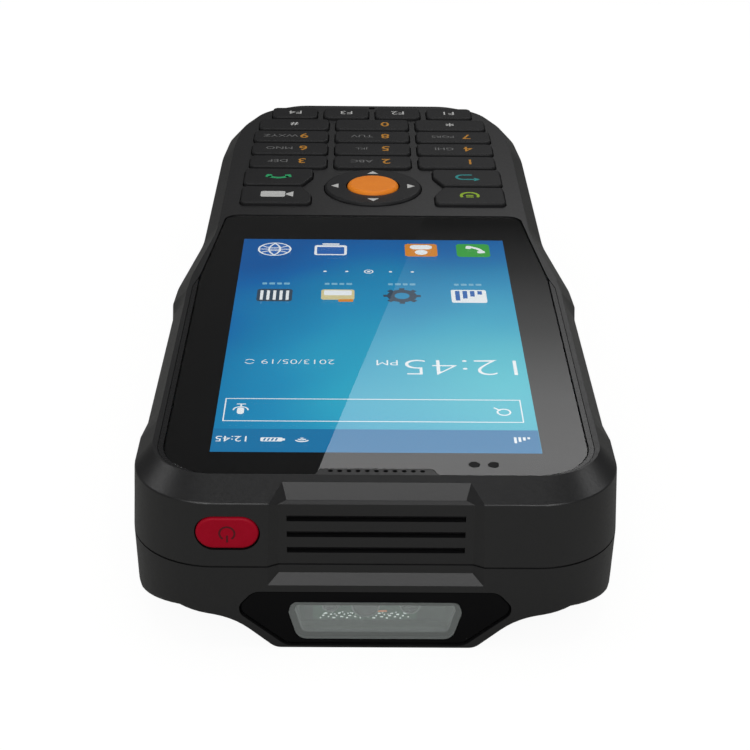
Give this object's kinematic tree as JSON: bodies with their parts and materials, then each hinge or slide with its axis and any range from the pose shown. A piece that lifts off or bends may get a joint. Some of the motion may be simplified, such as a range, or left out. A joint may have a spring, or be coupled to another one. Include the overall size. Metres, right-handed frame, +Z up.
{
  "type": "portable data terminal",
  "caption": "Hand-held barcode data terminal with a display, a keypad with a four-way rocker, a scan window in its head, side scan keys and a battery door.",
  "frame": {"origin": "middle of the footprint, on the surface that the terminal lies on", "axes": "+Z up out of the display, -Y towards the head with the scan window, +X to the right seen from the head"},
  "size_m": [0.0768, 0.1836, 0.0302],
  "materials": {
    "housing": "fine matte texture, charcoal",
    "key_plastic": "satin black",
    "ok_plastic": "satin orange",
    "power_plastic": "satin dark red",
    "gloss_black": "polished black",
    "trim": "satin black",
    "cover_glass": "clear and polished, printed black outside the display",
    "clear_window": "clear, coated against reflections",
    "display": "lit panel behind the glass",
    "steel": "plain stamped steel",
    "board": "solder mask",
    "silicone": "matte silicone",
    "dark_part": "moulded black",
    "optic": "coated lens",
    "contact": "gold plated"
  },
  "bodies": {
    "terminal": {"front_housing": "housing", "rear_housing": "housing", "seam_seal": "silicone", "display_trim": "trim", "cover_glass": "cover_glass", "display_module": "display", "display_carrier": "steel", "main_board": "board", "board_shields": "steel", "key_domes": "steel", "keypad_mat": "silicone", "earpiece": "dark_part", "sensor_light_pipes": "clear_window", "loudspeaker": "dark_part", "power_switch": "dark_part", "scan_key_switches": "dark_part", "scan_window_frame": "gloss_black", "scan_window": "clear_window", "scan_engine": "dark_part", "scan_engine_optics": "optic", "scan_engine_bracket": "steel", "bracket_screws": "steel", "battery_pack": "dark_part", "battery_contacts": "contact", "rear_camera": "dark_part", "camera_window": "clear_window", "flash_lens": "clear_window", "usb_socket": "steel", "microphone": "dark_part", "vibration_motor": "steel", "housing_screws": "steel"},
    "power_button": {"power_button": "power_plastic"},
    "scan_key_left": {"scan_key_left": "key_plastic"},
    "scan_key_right": {"scan_key_right": "key_plastic"},
    "nav_ring": {"nav_ring": "key_plastic"},
    "nav_pivot": {"nav_pivot": "steel"},
    "key_ok": {"key_ok": "ok_plastic"},
    "battery_door": {"battery_door": "housing"},
    "door_latch": {"door_latch": "housing"},
    "port_cover": {"port_cover": "silicone"},
    "key_camera": {"key_camera": "key_plastic"},
    "key_call": {"key_call": "key_plastic"},
    "key_menu": {"key_menu": "key_plastic"},
    "key_back": {"key_back": "key_plastic"},
    "key_hash": {"key_hash": "key_plastic"},
    "key_0": {"key_0": "key_plastic"},
    "key_star": {"key_star": "key_plastic"},
    "key_1": {"key_1": "key_plastic"},
    "key_2": {"key_2": "key_plastic"},
    "key_3": {"key_3": "key_plastic"},
    "key_4": {"key_4": "key_plastic"},
    "key_5": {"key_5": "key_plastic"},
    "key_6": {"key_6": "key_plastic"},
    "key_7": {"key_7": "key_plastic"},
    "key_8": {"key_8": "key_plastic"},
    "key_9": {"key_9": "key_plastic"},
    "key_f1": {"key_f1": "key_plastic"},
    "key_f2": {"key_f2": "key_plastic"},
    "key_f3": {"key_f3": "key_plastic"},
    "key_f4": {"key_f4": "key_plastic"}
  },
  "joints": [
    {"name": "power_button_press", "type": "slide", "parent": "terminal", "child": "power_button", "axis": [0, 1, 0], "range_m": [0, 0.0004], "stiffness_N_per_m": 3750},
    {"name": "scan_key_left_press", "type": "slide", "parent": "terminal", "child": "scan_key_left", "axis": [1, 0, 0], "range_m": [0, 0.0004], "stiffness_N_per_m": 3750},
    {"name": "scan_key_right_press", "type": "slide", "parent": "terminal", "child": "scan_key_right", "axis": [-1, 0, 0], "range_m": [0, 0.0004], "stiffness_N_per_m": 3750},
    {"name": "key_camera_press", "type": "slide", "parent": "terminal", "child": "key_camera", "axis": [0, 0, -1], "range_m": [0, 0.0004], "stiffness_N_per_m": 3750},
    {"name": "key_call_press", "type": "slide", "parent": "terminal", "child": "key_call", "axis": [0, 0, -1], "range_m": [0, 0.0004], "stiffness_N_per_m": 3750},
    {"name": "key_menu_press", "type": "slide", "parent": "terminal", "child": "key_menu", "axis": [0, 0, -1], "range_m": [0, 0.0004], "stiffness_N_per_m": 3750},
    {"name": "key_back_press", "type": "slide", "parent": "terminal", "child": "key_back", "axis": [0, 0, -1], "range_m": [0, 0.0004], "stiffness_N_per_m": 3750},
    {"name": "key_hash_press", "type": "slide", "parent": "terminal", "child": "key_hash", "axis": [0, 0, -1], "range_m": [0, 0.0004], "stiffness_N_per_m": 3750},
    {"name": "key_0_press", "type": "slide", "parent": "terminal", "child": "key_0", "axis": [0, 0, -1], "range_m": [0, 0.0004], "stiffness_N_per_m": 3750},
    {"name": "key_star_press", "type": "slide", "parent": "terminal", "child": "key_star", "axis": [0, 0, -1], "range_m": [0, 0.0004], "stiffness_N_per_m": 3750},
    {"name": "key_1_press", "type": "slide", "parent": "terminal", "child": "key_1", "axis": [0, 0, -1], "range_m": [0, 0.0004], "stiffness_N_per_m": 3750},
    {"name": "key_2_press", "type": "slide", "parent": "terminal", "child": "key_2", "axis": [0, 0, -1], "range_m": [0, 0.0004], "stiffness_N_per_m": 3750},
    {"name": "key_3_press", "type": "slide", "parent": "terminal", "child": "key_3", "axis": [0, 0, -1], "range_m": [0, 0.0004], "stiffness_N_per_m": 3750},
    {"name": "key_4_press", "type": "slide", "parent": "terminal", "child": "key_4", "axis": [0, 0, -1], "range_m": [0, 0.0004], "stiffness_N_per_m": 3750},
    {"name": "key_5_press", "type": "slide", "parent": "terminal", "child": "key_5", "axis": [0, 0, -1], "range_m": [0, 0.0004], "stiffness_N_per_m": 3750},
    {"name": "key_6_press", "type": "slide", "parent": "terminal", "child": "key_6", "axis": [0, 0, -1], "range_m": [0, 0.0004], "stiffness_N_per_m": 3750},
    {"name": "key_7_press", "type": "slide", "parent": "terminal", "child": "key_7", "axis": [0, 0, -1], "range_m": [0, 0.0004], "stiffness_N_per_m": 3750},
    {"name": "key_8_press", "type": "slide", "parent": "terminal", "child": "key_8", "axis": [0, 0, -1], "range_m": [0, 0.0004], "stiffness_N_per_m": 3750},
    {"name": "key_9_press", "type": "slide", "parent": "terminal", "child": "key_9", "axis": [0, 0, -1], "range_m": [0, 0.0004], "stiffness_N_per_m": 3750},
    {"name": "key_f1_press", "type": "slide", "parent": "terminal", "child": "key_f1", "axis": [0, 0, -1], "range_m": [0, 0.0004], "stiffness_N_per_m": 3750},
    {"name": "key_f2_press", "type": "slide", "parent": "terminal", "child": "key_f2", "axis": [0, 0, -1], "range_m": [0, 0.0004], "stiffness_N_per_m": 3750},
    {"name": "key_f3_press", "type": "slide", "parent": "terminal", "child": "key_f3", "axis": [0, 0, -1], "range_m": [0, 0.0004], "stiffness_N_per_m": 3750},
    {"name": "key_f4_press", "type": "slide", "parent": "terminal", "child": "key_f4", "axis": [0, 0, -1], "range_m": [0, 0.0004], "stiffness_N_per_m": 3750},
    {"name": "key_ok_press", "type": "slide", "parent": "terminal", "child": "key_ok", "axis": [0, 0, -1], "range_m": [0, 0.0004], "stiffness_N_per_m": 3750},
    {"name": "nav_tilt_length", "type": "hinge", "parent": "terminal", "child": "nav_pivot", "pos_m": [0, 0.03389, 0.02545], "axis": [1, 0, 0], "range_deg": [-1.5, 1.5], "stiffness_Nm_per_rad": 0.6},
    {"name": "nav_tilt_width", "type": "hinge", "parent": "nav_pivot", "child": "nav_ring", "pos_m": [0, 0.03389, 0.02545], "axis": [0, 1, 0], "range_deg": [-1.5, 1.5], "stiffness_Nm_per_rad": 0.6},
    {"name": "battery_door_hinge", "type": "hinge", "parent": "terminal", "child": "battery_door", "pos_m": [0, 0.06635, 0.0019], "axis": [1, 0, 0], "range_deg": [0, 90]},
    {"name": "door_latch_slide", "type": "slide", "parent": "battery_door", "child": "door_latch", "axis": [0, -0.9821, 0.1882], "range_m": [0, 0.0022]},
    {"name": "port_cover_hinge", "type": "hinge", "parent": "terminal", "child": "port_cover", "pos_m": [0, 0.0912, 0.0089], "axis": [-1, 0, 0], "range_deg": [0, 80]}
  ]
}
